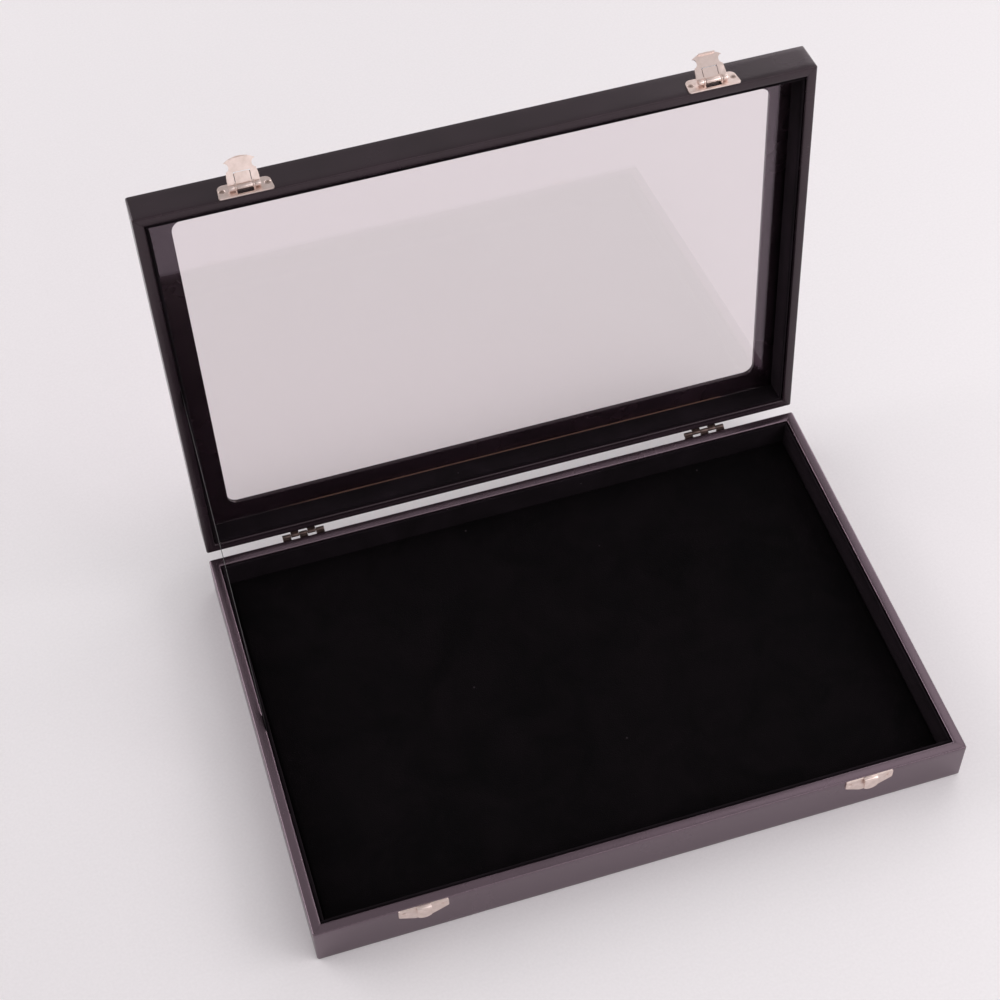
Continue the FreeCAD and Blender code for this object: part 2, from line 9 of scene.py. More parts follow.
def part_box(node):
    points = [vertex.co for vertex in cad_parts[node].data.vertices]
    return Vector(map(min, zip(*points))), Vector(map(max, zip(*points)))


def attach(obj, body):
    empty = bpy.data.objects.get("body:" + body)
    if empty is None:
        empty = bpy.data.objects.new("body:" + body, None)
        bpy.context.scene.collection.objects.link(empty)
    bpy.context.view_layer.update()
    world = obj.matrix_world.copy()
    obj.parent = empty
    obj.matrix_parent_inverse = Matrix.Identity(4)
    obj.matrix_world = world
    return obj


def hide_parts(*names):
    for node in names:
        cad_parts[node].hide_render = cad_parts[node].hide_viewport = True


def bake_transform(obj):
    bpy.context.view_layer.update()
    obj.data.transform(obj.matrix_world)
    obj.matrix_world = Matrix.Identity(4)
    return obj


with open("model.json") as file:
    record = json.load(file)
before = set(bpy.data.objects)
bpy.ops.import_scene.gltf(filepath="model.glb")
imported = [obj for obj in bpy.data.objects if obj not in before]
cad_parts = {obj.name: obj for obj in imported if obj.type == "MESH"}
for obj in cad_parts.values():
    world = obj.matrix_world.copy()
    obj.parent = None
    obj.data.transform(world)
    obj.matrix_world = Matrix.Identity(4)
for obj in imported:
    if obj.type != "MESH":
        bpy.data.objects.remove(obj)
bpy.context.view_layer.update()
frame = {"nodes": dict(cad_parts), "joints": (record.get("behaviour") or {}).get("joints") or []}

# Black display case with a glass lid: leatherette over board, velvet inside, nickel fittings.
# Blender works in metres. Sizes below are millimetres and are turned to metres by MM.
# Lid pieces are drawn with the lid shut and are then swung open about the hinge.
MM = 0.001

# ---- maker's sizes, millimetres -----------------------------------------------------------
SKIN = 0.4                  # leatherette, glue and all
CORNER_R = 1.2              # upright edges of the walls
WRAP_R = 0.9                # leatherette bent over a board's long edge
TIGHT_R = 0.15              # leatherette pressed into an inside corner
WRAP_STEP = 4.0             # spacing of mesh lines along a wall
HEIGHT_STEP = 3.0           # spacing of mesh lines up a wall
RIM_STEP = 0.9
TOP_STEP = 1.5
ARC_STEPS = 4
CORNER_STEPS = 6            # turns between two walls
WRAP_WAVE = 0.05            # how far the covering lies off true
WALL_WAVE_LENGTH = 24.0
RIM_WAVE_LENGTH = 18.0
RIM_CROWN = 0.1
RIM_ZONE = 0.3              # nearer than this to the rim's height counts as lying on it
FOOT = 0.12                 # the covering's edge stays this far above the table
UNDER_FLAT = 1.2            # where the covering starts to lie flat underneath
UNDER_LAP = 0.1             # gap between the covering and the paper underneath
MITRE_DEPTH = 0.22          # groove where two turn-ins meet on the rim
GROOVE_FROM = 0.45          # how near it comes to the rim's outer edge
GROOVE_TO = 0.27            # and to its inner edge
STRIP_END = 0.16            # step where the covering strip laps over its own start
STRIP_END_AT = 62.0         # place of that lap along the rear wall
STRIP_END_FADE = 22.0
STRIP_END_WIDTH = 0.3
REAR_FACING = 0.99          # least share of rearward lean that counts as the rear wall
WINDOW_HALF_X = 156.5
WINDOW_R = 6.0
WINDOW_ZONE = 4.0           # nearer than this to the lid's top, the covering follows the window
WINDOW_TURN_IN = 12.9       # leatherette turned in behind the window, as far as the walls
BASE_TURN_IN = 14.0         # leatherette turned down inside the walls
LID_TURN_IN = 16.0          # in the lid it goes past the edge of the glass
PANEL_SKIN_GAP = 0.06       # air between the glass and the covering turned in behind the window

NEARLY_ZERO = 1e-9
NAP = 0.6                   # rounding that the velvet gives a card edge
NAP_MOST = 0.9              # at most this share of half the strip's thickness
NAP_STEPS = 6
LINER_STEP = 5.0
LINER_RISE = 4.0            # spacing of mesh lines up a strip
LINER_WAVE = 0.10
LINER_WAVE_LENGTH = 30.0
LINER_WAVE_ACROSS = 0.4     # shares of the wave that move a strip's faces and its height
LINER_WAVE_UP = 0.3
LINER_STILL = 0.2           # nearer than this to its middle, a strip doesn't move across
LINER_TUCK = 0.25           # share of its thickness that a strip loses at its ends
PAD_EDGE_R = 2.6            # how far in from its edge the pad is rounded
PAD_EDGE_DROP = 1.6
PAD_CROWN = 0.7
PAD_EDGE_LINES = (0.0, 0.15, 0.45, 0.9, 1.6, 2.6)
PAD_FLAT_FROM = 5.0         # first mesh line of the flat part, in from the edge
PAD_STEP = 4.0
PAD_WAVE = 0.12
PAD_WAVE_LENGTHS = (34.0, 11.0)

RIBBON_STEPS = 72
RIBBON_ACROSS = 8
SELVEDGE = 0.35             # width of the ribbon's thicker woven edge
RIBBON_THIN = 0.7           # share of its thickness between the woven edges
RIBBON_EDGE = 0.4           # and at the very edge

WELD_GAP = 0.002            # corners nearer than this are one corner
SHARP_FROM = 45             # edges that turn by more than these degrees look sharp
PAD_SHARP_FROM = 80
STEEL_EDGE = 0.14           # widths of broken edges
SCREW_EDGE = 0.06
GLASS_EDGE = 0.25
CARD_EDGE = 0.1
EDGE_FROM = 38              # only edges that turn by more than these degrees are broken

# ---- places taken from the frame ----------------------------------------------------------
HINGE = next(j for j in frame["joints"] if j["name"] == "lid_hinge")
HINGE_AT = Vector(HINGE["pos_m"])
OPEN_ANGLE = math.radians(HINGE["range_deg"][1])
OPEN = (Matrix.Translation(HINGE_AT) @ Matrix.Rotation(-OPEN_ANGLE, 4, "X")
        @ Matrix.Translation(-HINGE_AT))
SHUT = OPEN.inverted()
SIDES = ("left", "right")
WALLS = ("front", "rear", "left", "right")


def shut_box(node):
    """Lowest and highest corners, in millimetres, of a lid node with the lid shut."""
    corners = [SHUT @ vertex.co / MM for vertex in frame["nodes"][node].data.vertices]
    low = Vector([min(corner[i] for corner in corners) for i in range(3)])
    high = Vector([max(corner[i] for corner in corners) for i in range(3)])
    return low, high


def base_box(node):
    """Lowest and highest corners, in millimetres, of a base node."""
    low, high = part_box(node)
    return low / MM, high / MM


BASE_HIGH = base_box("base_leatherette")[1]
LID_LOW, LID_HIGH = shut_box("lid_leatherette")
RIM_WIDTH = BASE_HIGH.y + base_box("base_front_wall")[1].y + SKIN
SHEET_INSET = BASE_HIGH.x - base_box("base_under_sheet")[1].x
GLASS_TOP = shut_box("lid_glass")[1].z
WINDOW_INSET = BASE_HIGH.x - WINDOW_HALF_X


# ---- colour and shader helpers ------------------------------------------------------------
def linear(hex_colour):
    """sRGB hex to linear RGBA."""
    channels = [int(hex_colour[i:i + 2], 16) / 255 for i in (1, 3, 5)]
    return [c / 12.92 if c <= 0.04045 else ((c + 0.055) / 1.055) ** 2.4 for c in channels] + [1.0]


def add(tree, kind, settings=(), **links):
    """Add one shader node. settings are its own values, its sockets' values, or the colours of a ramp
    as (place, colour) pairs under "stops"; links feed its sockets."""
    node = tree.nodes.new(kind)
    for name, value in dict(settings).items():
        if name == "stops":
            for stop, (place, colour) in zip(node.color_ramp.elements, value):
                stop.position = place
                stop.color = colour
        elif hasattr(node, name) and name not in node.inputs:
            setattr(node, name, value)
        else:
            node.inputs[name].default_value = value
    for name, source in links.items():
        socket = int(name[1:]) if name[1:].isdigit() else name.replace("_", " ")
        tree.links.new(source, node.inputs[socket])
    return node


def finish_of(name, settings):
    """New material with one Principled shader; returns the material, its tree and that shader."""
    material = bpy.data.materials.new(name)
    material.use_nodes = True
    tree = material.node_tree
    shader = tree.nodes["Principled BSDF"]
    for socket, value in settings.items():
        shader.inputs[socket].default_value = value
    return material, tree, shader


def millimetres(tree):
    """Object coordinates counted in millimetres, so that a pattern's scale is one over its spacing."""
    place = add(tree, "ShaderNodeTexCoord")
    scale = (1 / MM, 1 / MM, 1 / MM)
    return add(tree, "ShaderNodeMapping", {"Scale": scale}, Vector=place.outputs["Object"]).outputs[0]


RAMP = "ShaderNodeValToRGB"
NOISE = "ShaderNodeTexNoise"
RANGE = "ShaderNodeMapRange"
BUMP = "ShaderNodeBump"


# ---- finishes -----------------------------------------------------------------------------
def embossed_leatherette(name, shine, cast):
    """PVC-coated paper, embossed by a heated roller: a fine pebble grain that breaks up the light into
    a soft plum-grey sheen over black, with slow changes of gloss where fingers and glue worked it.
    The lid's copy has its shine turned well down as painted shade for the weaker light on the lid; the
    base's copy shines fully."""
    material, tree, shader = finish_of(name, {
        "IOR": 1.8, "Specular IOR Level": shine, "Specular Tint": linear(cast)})
    where = millimetres(tree)
    pebble_spacing = 0.9    # real pebbles are about 0.5 mm; drawn coarser so that they show
    crease_spacing = 0.35
    patch_size = 38.0
    pebbles = add(tree, "ShaderNodeTexVoronoi", {"feature": "SMOOTH_F1", "Scale": 1 / pebble_spacing,
                                                 "Smoothness": 0.6, "Randomness": 0.9}, Vector=where)
    creases = add(tree, NOISE, {"Scale": 1 / crease_spacing, "Detail": 3.0}, Vector=where)
    patches = add(tree, NOISE, {"Scale": 1 / patch_size, "Detail": 3.0, "Roughness": 0.6}, Vector=where)
    colour = add(tree, RAMP, {"stops": ((0.3, linear("#1c1519")), (0.7, linear("#261c22")))},
                 Fac=patches.outputs[0])
    gloss = add(tree, RANGE, {"To Min": 0.20, "To Max": 0.32}, Value=patches.outputs[0])
    grain = add(tree, BUMP, {"Strength": 0.25, "Distance": 0.12 * MM}, Height=pebbles.outputs[0])
    fine = add(tree, BUMP, {"Strength": 0.15, "Distance": 0.05 * MM}, Height=creases.outputs[0],
               Normal=grain.outputs[0])
    tree.links.new(colour.outputs[0], shader.inputs["Base Color"])
    tree.links.new(gloss.outputs[0], shader.inputs["Roughness"])
    tree.links.new(fine.outputs[0], shader.inputs["Normal"])
    return material


def flocked_velvet(name, dark, light, sheen):
    """Rayon fibres stood on end in glue: it swallows light looked at head-on, glows faintly at a slant,
    and shows slow clouds where the pile has been brushed different ways, and a few specks of lint."""
    material, tree, shader = finish_of(name, {
        "Roughness": 1.0, "IOR": 1.3, "Specular IOR Level": 0.1,
        "Sheen Weight": sheen, "Sheen Roughness": 0.4, "Sheen Tint": linear("#b8a2b0")})
    where = millimetres(tree)
    cloud_size = 26.0
    lint_spacing = 34.0
    pile_spacing = 0.6
    clouds = add(tree, NOISE, {"Scale": 1 / cloud_size, "Detail": 4.0, "Roughness": 0.55, "Distortion": 0.8},
                 Vector=where)
    brushed = add(tree, RAMP, {"stops": ((0.32, linear(dark)), (0.68, linear(light)))},
                  Fac=clouds.outputs[0])
    lint = add(tree, "ShaderNodeTexVoronoi", {"Scale": 1 / lint_spacing}, Vector=where)
    speck = add(tree, RAMP, {"stops": ((0.010, (1, 1, 1, 1)), (0.020, (0, 0, 0, 1)))},
                Fac=lint.outputs["Distance"])
    dusted = add(tree, "ShaderNodeMix", {"data_type": "RGBA"}, _0=speck.outputs[0], _6=brushed.outputs[0])
    dusted.inputs[7].default_value = linear("#3a3438")
    pile = add(tree, NOISE, {"Scale": 1 / pile_spacing, "Detail": 2.0}, Vector=where)
    nap = add(tree, BUMP, {"Strength": 0.6, "Distance": 0.25 * MM}, Height=pile.outputs[0])
    tree.links.new(dusted.outputs[2], shader.inputs["Base Color"])
    tree.links.new(nap.outputs[0], shader.inputs["Normal"])
    return material


def nickel_plate(name, bright, dull, smoothest, roughest):
    """Thin nickel plate on stamped steel, tumbled before plating: warm grey mirror broken by fine
    tumbling marks, with slightly duller clouds where the plating is thin."""
    material, tree, shader = finish_of(name, {"Metallic": 1.0})
    where = millimetres(tree)
    cloud_size = 3.0
    mark_spacing = 0.3
    clouds = add(tree, NOISE, {"Scale": 1 / cloud_size, "Detail": 4.0}, Vector=where)
    gloss = add(tree, RANGE, {"To Min": smoothest, "To Max": roughest}, Value=clouds.outputs[0])
    tone = add(tree, RAMP, {"stops": ((0.3, linear(bright)), (0.75, linear(dull)))}, Fac=clouds.outputs[0])
    marks = add(tree, NOISE, {"Scale": 1 / mark_spacing, "Detail": 3.0}, Vector=where)
    tumbled = add(tree, BUMP, {"Strength": 0.25, "Distance": 0.03 * MM}, Height=marks.outputs[0])
    tree.links.new(tone.outputs[0], shader.inputs["Base Color"])
    tree.links.new(gloss.outputs[0], shader.inputs["Roughness"])
    tree.links.new(tumbled.outputs[0], shader.inputs["Normal"])
    return material


def float_glass():
    """Float glass, cut and left flat: clear with a faint rosy cast, and the faintest smudges on its
    faces. Lamps are let through it, so that it casts no dark shadow."""
    material, tree, shader = finish_of("float_glass", {
        "Base Color": linear("#eee8ea"), "Specular Tint": linear("#ffe8fd"), "IOR": 1.5,
        "Transmission Weight": 1.0})
    where = millimetres(tree)
    smudge_size = 45.0
    smudges = add(tree, NOISE, {"Scale": 1 / smudge_size, "Detail": 5.0, "Distortion": 0.6}, Vector=where)
    smeared = add(tree, RANGE, {"From Min": 0.5, "From Max": 0.8, "To Min": 0.0, "To Max": 0.03},
                  Value=smudges.outputs[0])
    clear = add(tree, "ShaderNodeBsdfTransparent", {"Color": linear("#f6f1f4")})
    ray = add(tree, "ShaderNodeLightPath")
    through = add(tree, "ShaderNodeMixShader", (), _0=ray.outputs["Is Shadow Ray"], _1=shader.outputs[0],
                  _2=clear.outputs[0])
    tree.links.new(smeared.outputs[0], shader.inputs["Roughness"])
    tree.links.new(through.outputs[0], tree.nodes["Material Output"].inputs["Surface"])
    return material


def pressed_board(name, light, dark, fibre, roughness):
    """Board or card pressed from pulp: matt, with short fibres lying every way."""
    material, tree, shader = finish_of(name, {"IOR": 1.45, "Specular IOR Level": 0.3})
    where = millimetres(tree)
    fibres = add(tree, NOISE, {"Scale": 1 / fibre, "Detail": 6.0, "Roughness": 0.7}, Vector=where)
    tone = add(tree, RAMP, {"stops": ((0.3, linear(dark)), (0.7, linear(light)))}, Fac=fibres.outputs[0])
    spread = 0.08
    matt = add(tree, RANGE, {"To Min": roughness - spread, "To Max": roughness + spread},
               Value=fibres.outputs[0])
    rough = add(tree, BUMP, {"Strength": 0.4, "Distance": 0.08 * MM}, Height=fibres.outputs[0])
    tree.links.new(tone.outputs[0], shader.inputs["Base Color"])
    tree.links.new(matt.outputs[0], shader.inputs["Roughness"])
    tree.links.new(rough.outputs[0], shader.inputs["Normal"])
    return material


def darkened_end(material, node, start, end):
    """A strip's left end is darker: its own colour comes back between start and end, in millimetres along
    it."""
    tree = material.node_tree
    shader = tree.nodes["Principled BSDF"]
    colour = shader.inputs["Base Color"].links[0].from_socket
    left_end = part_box(node)[0].x / MM
    place = add(tree, "ShaderNodeSeparateXYZ", (), Vector=millimetres(tree))
    share = add(tree, RANGE, {"From Min": left_end + start, "From Max": left_end + end},
                Value=place.outputs["X"])
    darkened_left_end = add(tree, "ShaderNodeMix", {"data_type": "RGBA"}, _0=share.outputs[0], _7=colour)
    darkened_left_end.inputs[6].default_value = linear("#2a1f22")
    tree.links.new(darkened_left_end.outputs[2], shader.inputs["Base Color"])


def satin_ribbon():
    """Woven polyester satin: long floats that catch a line of light across fine ribs."""
    material, tree, shader = finish_of("woven_satin_ribbon", {
        "IOR": 1.45, "Specular IOR Level": 0.25, "Sheen Weight": 0.05, "Sheen Roughness": 0.35})
    place = add(tree, "ShaderNodeUVMap", {"uv_map": "weave"})
    rib_spacing = 0.5       # real ribs are about 0.25 mm; drawn coarser so that they show
    thread_spacing = 1.2
    ribs = add(tree, "ShaderNodeTexWave", {"bands_direction": "Y", "Scale": 1 / rib_spacing / math.pi,
                                           "Distortion": 0.4, "Detail": 1.0}, Vector=place.outputs[0])
    threads = add(tree, NOISE, {"Scale": 1 / thread_spacing, "Detail": 3.0}, Vector=place.outputs[0])
    tone = add(tree, RAMP, {"stops": ((0.3, linear("#151315")), (0.7, linear("#201d1f")))},
               Fac=threads.outputs[0])
    gloss = add(tree, RANGE, {"To Min": 0.46, "To Max": 0.6}, Value=threads.outputs[0])
    woven = add(tree, BUMP, {"Strength": 0.5, "Distance": 0.06 * MM}, Height=ribs.outputs[1])
    tree.links.new(tone.outputs[0], shader.inputs["Base Color"])
    tree.links.new(gloss.outputs[0], shader.inputs["Roughness"])
    tree.links.new(woven.outputs[0], shader.inputs["Normal"])
    return material


def studio_paper():
    """Seamless background paper, nearly white."""
    material, tree, shader = finish_of("seamless_paper", {"Roughness": 0.9, "Specular IOR Level": 0.15})
    tooth_spacing = 1.5
    tooth = add(tree, NOISE, {"Scale": 1 / tooth_spacing, "Detail": 2.0}, Vector=millimetres(tree))
    tone = add(tree, RAMP, {"stops": ((0.3, linear("#f1eff0")), (0.7, linear("#f5f3f4")))},
               Fac=tooth.outputs[0])
    tree.links.new(tone.outputs[0], shader.inputs["Base Color"])
    return material


# Two copies of one leatherette: the lid's has far less shine, as painted shade for the weaker light on the
# lid.
BASE_LEATHERETTE = embossed_leatherette("embossed_leatherette_base", 0.97, "#ffe2f2")
LID_LEATHERETTE_SHADED = embossed_leatherette("embossed_leatherette_lid", 0.26, "#ffeaf2")
LINER_VELVET = flocked_velvet("flocked_velvet_liner", "#100d0f", "#191418", 0.13)
FLOOR_VELVET = flocked_velvet("flocked_velvet_floor", "#080708", "#0e0b0d", 0.035)
NICKEL = nickel_plate("bright_nickel_plate", "#f4e2db", "#e2cfc6", 0.30, 0.44)
# Darker, duller copy of the nickel: painted shade and painted dark reflection for hinges in the dark gap
# between lid and base.
HINGE_NICKEL_SHADED = nickel_plate("hinge_nickel_darkened_as_painted_shade", "#75645f", "#584a46", 0.42, 0.58)
SCREW_STEEL = nickel_plate("nickel_plated_screws", "#c9b5ab", "#a8958c", 0.34, 0.5)
GLASS = float_glass()
WALL_BOARD = pressed_board("medium_density_fibreboard", "#a98a66", "#8a6d4d", 0.8, 0.82)
RAW_CARD = pressed_board("raw_brown_card", "#6d5044", "#533a31", 0.5, 0.85)
darkened_end(RAW_CARD, "glass_packing_strip", 5.0, 35.0)
BLACK_PAPER = pressed_board("black_kraft_paper", "#1d1b1d", "#141214", 0.7, 0.78)
RIBBON = satin_ribbon()


# ---- making pieces ------------------------------------------------------------------------
def make_piece(name, points, faces, material, place=None, sharp=SHARP_FROM):
    """Mesh object from points in millimetres, joined up, faced outwards and smoothed."""
    mesh = bpy.data.meshes.new(name)
    work = bmesh.new()
    corners = [work.verts.new(Vector(p) * MM) for p in points]
    for face in faces:
        work.faces.new([corners[i] for i in face])
    bmesh.ops.remove_doubles(work, verts=work.verts, dist=WELD_GAP * MM)
    bmesh.ops.recalc_face_normals(work, faces=work.faces)
    if place is not None:
        work.transform(place)
    work.to_mesh(mesh)
    work.free()
    mesh.shade_smooth()
    mesh.set_sharp_from_angle(angle=math.radians(sharp))
    mesh.materials.append(material)
    piece = bpy.data.objects.new(name, mesh)
    bpy.context.scene.collection.objects.link(piece)
    return piece


def fit(piece, body, node):
    """Let a piece ride on its body and stand for its CAD node."""
    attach(piece, body)
    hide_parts(node)


def ring_faces(rows, columns):
    """Quads over a grid that closes on itself both ways; point number is row * columns + column."""
    faces = []
    for row in range(rows):
        below = (row + 1) % rows
        for column in range(columns):
            beside = (column + 1) % columns
            faces.append((row * columns + column, row * columns + beside,
                          below * columns + beside, below * columns + column))
    return faces


def tube_faces(rows, columns):
    """Quads over a grid that closes on itself one way, with a cap at each end."""
    faces = []
    for row in range(rows - 1):
        start = row * columns
        for i in range(columns):
            j = (i + 1) % columns
            faces.append((start + i, start + j, start + columns + j, start + columns + i))
    faces.append(tuple(range(columns)))
    faces.append(tuple(range((rows - 1) * columns, rows * columns)))
    return faces


def drift(x, y, z, size):
    """Smooth random value, about -1 to 1, that changes over size millimetres."""
    return noise.noise(Vector((x, y, z)) / size)


# ---- leatherette coverings ----------------------------------------------------------------
def spaced(start, end, step):
    """Values from start to end, evenly spaced and at most step apart."""
    count = max(1, math.ceil(abs(end - start) / step))
    return [start + (end - start) * i / count for i in range(count + 1)]


def wrapped_edge(inset, height, start, end):
    """Arc of the covering about a point of its profile, from one angle in degrees to another."""
    turns = [math.radians(start + (end - start) * i / ARC_STEPS) for i in range(ARC_STEPS + 1)]
    return [(inset + WRAP_R * math.cos(a), height + WRAP_R * math.sin(a)) for a in turns]


def rim_line(rim_z, outward):
    """Profile over a rim from the outer to the inner face: two rounded edges and a slight crown.
    outward is 1 where the rim faces up and -1 where it faces down."""
    start = WRAP_R
    end = RIM_WIDTH - WRAP_R
    centre_z = rim_z - outward * WRAP_R
    outer = wrapped_edge(start, centre_z, 180, 180 - 90 * outward)
    inner = wrapped_edge(end, centre_z, 90 * outward, 0)
    flat = [(t, rim_z + outward * RIM_CROWN * math.sin(math.pi * (t - start) / (end - start)))
            for t in spaced(start, end, RIM_STEP)[1:-1]]
    return outer + flat + inner


def wall_stations(half_x, half_y):
    """Places round the box: which way each lies from the centre, its outward direction, and whether
    it is the middle of a corner."""
    stations = []
    for side in range(4):
        angle = math.radians(90 * side - 90)
        normal = Vector((math.cos(angle), math.sin(angle)))
        along = Vector((-normal.y, normal.x))
        half = half_x if side % 2 == 0 else half_y
        places = spaced(-1.0, 1.0, WRAP_STEP / half)
        if side == 2:
            lap = [-STRIP_END_AT - STRIP_END_WIDTH / 2, -STRIP_END_AT + STRIP_END_WIDTH / 2]
            places = sorted(places + [place / half for place in lap])
        stations += [(normal + along * f, normal, False) for f in places]
        for i in range(1, CORNER_STEPS):
            turn = angle + math.radians(90 * i / CORNER_STEPS)
            lean = Vector((math.cos(turn), math.sin(turn)))
            stations.append((normal + along, lean, i == CORNER_STEPS // 2))
    return stations


def corner_radius(inset, below_window):
    """Radius of the covering's corners at an inset from the outside: tight against the walls, and
    opening out to the window's own radius across the lid's top."""
    plain = max(CORNER_R - inset, TIGHT_R)
    if below_window:
        return plain
    share = min(1.0, max(0.0, (inset - WINDOW_INSET + 2 * WINDOW_R) / (2 * WINDOW_R)))
    return max(plain, WINDOW_R * share)


def covering(name, profile, high, rim_z, has_window, place, material):
    """Leatherette carried round the box along a closed profile of (inset, height)."""
    half_x, half_y = high.x, high.y
    stations = wall_stations(half_x, half_y)
    groove = MITRE_DEPTH * (-1 if rim_z == high.z else 1)
    points = []
    for inset, z in profile:
        on_rim = abs(z - rim_z) < RIM_ZONE
        in_groove = on_rim and GROOVE_FROM < inset < RIM_WIDTH - GROOVE_TO
        outside = inset < SKIN / 2
        radius = corner_radius(inset, not has_window or z < high.z - WINDOW_ZONE)
        for lean, normal, is_mitre in stations:
            x = lean.x * (half_x - inset - radius) + radius * normal.x
            y = lean.y * (half_y - inset - radius) + radius * normal.y
            height = z
            push = 0.0
            if is_mitre and in_groove:
                height += groove
            if outside:
                push = WRAP_WAVE * drift(x, y, z, WALL_WAVE_LENGTH)
                if normal.y > REAR_FACING and x > STRIP_END_AT:
                    push += STRIP_END * max(0.0, 1 - (x - STRIP_END_AT) / STRIP_END_FADE)
            elif on_rim:
                height += WRAP_WAVE * drift(x, y, z, RIM_WAVE_LENGTH)
            points.append((x + push * normal.x, y + push * normal.y, height))
    faces = ring_faces(len(profile), len(stations))
    return make_piece(name, points, faces, material, place)


def base_covering():
    """Outside, over the rim, and down inside to the turn-in's cut edge."""
    rim = BASE_HIGH.z
    turned = rim - BASE_TURN_IN
    under_end = SHEET_INSET - UNDER_LAP
    glued = RIM_WIDTH - SKIN
    under = [(under_end, FOOT), (UNDER_FLAT, FOOT)]
    bend = wrapped_edge(WRAP_R, FOOT + WRAP_R, 270, 180)
    up = [(0.0, z) for z in spaced(FOOT + WRAP_R, rim - WRAP_R, HEIGHT_STEP)[1:-1]]
    over = rim_line(rim, 1)
    down = [(RIM_WIDTH, z) for z in spaced(rim - WRAP_R, turned, HEIGHT_STEP)[1:]]
    back = [(glued, turned), (glued, rim - SKIN), (SKIN, rim - SKIN), (SKIN, FOOT + SKIN),
            (under_end, FOOT + SKIN)]
    profile = under + bend + up + over + down + back
    piece = covering("base_covering", profile, BASE_HIGH, rim, False, None, BASE_LEATHERETTE)
    fit(piece, "base", "base_leatherette")


def lid_covering():
    """Over the rim, outside, across the top, round the window's edge and in behind it."""
    rim = LID_LOW.z
    top = LID_HIGH.z
    turned = rim + LID_TURN_IN
    behind = GLASS_TOP + PANEL_SKIN_GAP
    window = WINDOW_INSET
    hem_end = window - WINDOW_TURN_IN
    glued = RIM_WIDTH - SKIN
    inside = [(RIM_WIDTH, z) for z in spaced(turned, rim + WRAP_R, HEIGHT_STEP)[:-1]]
    over = list(reversed(rim_line(rim, -1)))
    up = [(0.0, z) for z in spaced(rim + WRAP_R, top - WRAP_R, HEIGHT_STEP)[1:-1]]
    edge = wrapped_edge(WRAP_R, top - WRAP_R, 180, 90)
    across = [(t, top) for t in spaced(WRAP_R, window - WRAP_R, TOP_STEP)[1:-1]]
    lip = wrapped_edge(window - WRAP_R, top - WRAP_R, 90, 0)
    hem = [(window, behind), (hem_end, behind), (hem_end, behind + SKIN),
           (window - SKIN, behind + SKIN), (window - SKIN, top - SKIN)]
    back = [(SKIN, top - SKIN), (SKIN, rim + SKIN), (glued, rim + SKIN), (glued, turned)]
    profile = inside + over + up + edge + across + lip + hem + back
    piece = covering("lid_covering", profile, LID_HIGH, rim, True, OPEN, LID_LEATHERETTE_SHADED)
    fit(piece, "lid", "lid_leatherette")


# ---- velvet liners and floor --------------------------------------------------------------
def velvet_strip(name, low, high, place, body, node):
    """Card strip wrapped in velvet: soft long edges, gently uneven faces."""
    along = 0 if high.x - low.x > high.y - low.y else 1
    across = 1 - along
    middle = (low[across] + high[across]) / 2
    half = (high[across] - low[across]) / 2
    nap = min(NAP, half * NAP_MOST)
    section = []
    for centre_z, start, other_z in ((high.z - nap, 0, low.z + nap), (low.z + nap, 180, high.z - nap)):
        for i in range(NAP_STEPS + 1):
            turn = math.radians(start + 180 * i / NAP_STEPS)
            lean = math.cos(turn)
            shift = math.copysign(half - nap, lean) if abs(lean) > NEARLY_ZERO else 0.0
            section.append((shift + nap * lean, centre_z + nap * math.sin(turn)))
        levels = spaced(centre_z, other_z, LINER_RISE)[1:-1]
        side = -half if start == 0 else half
        section += [(side, z) for z in levels]
    stations = spaced(low[along], high[along], LINER_STEP)
    points = []
    for index, s in enumerate(stations):
        tuck = LINER_TUCK if index in (0, len(stations) - 1) else 0.0
        for offset, z in section:
            wave = LINER_WAVE * drift(s, middle, z, LINER_WAVE_LENGTH)
            sway = wave * (LINER_WAVE_ACROSS if abs(offset) > LINER_STILL else 0.0)
            point = [0.0, 0.0, z + LINER_WAVE_UP * wave]
            point[along] = s
            point[across] = middle + offset * (1 - tuck) + sway
            points.append(point)
    faces = tube_faces(len(stations), len(section))
    fit(make_piece(name, points, faces, LINER_VELVET, place), body, node)


def pad_height(x, y, high):
    """Height of the pad's upper face: rounded down at its edges, crowned between them."""
    edge = min(high.x - abs(x), high.y - abs(y))
    inside = min(1.0, edge / PAD_EDGE_R)
    shoulder = math.sqrt(max(0.0, 1 - (1 - inside) ** 2))
    crown = PAD_CROWN * (1 - (x / high.x) ** 4) * (1 - (y / high.y) ** 4)
    wide, narrow = PAD_WAVE_LENGTHS
    dents = PAD_WAVE * (drift(x, y, 0, wide) + 0.5 * drift(x, y, 9, narrow))
    return high.z - PAD_CROWN - PAD_EDGE_DROP + shoulder * (PAD_EDGE_DROP + crown + dents)


def pad_lines(start, end):
    """Places of mesh lines across the pad: close together where its edge is rounded."""
    flat = spaced(start + PAD_FLAT_FROM, end - PAD_FLAT_FROM, PAD_STEP)
    return [start + d for d in PAD_EDGE_LINES] + flat + [end - d for d in reversed(PAD_EDGE_LINES)]


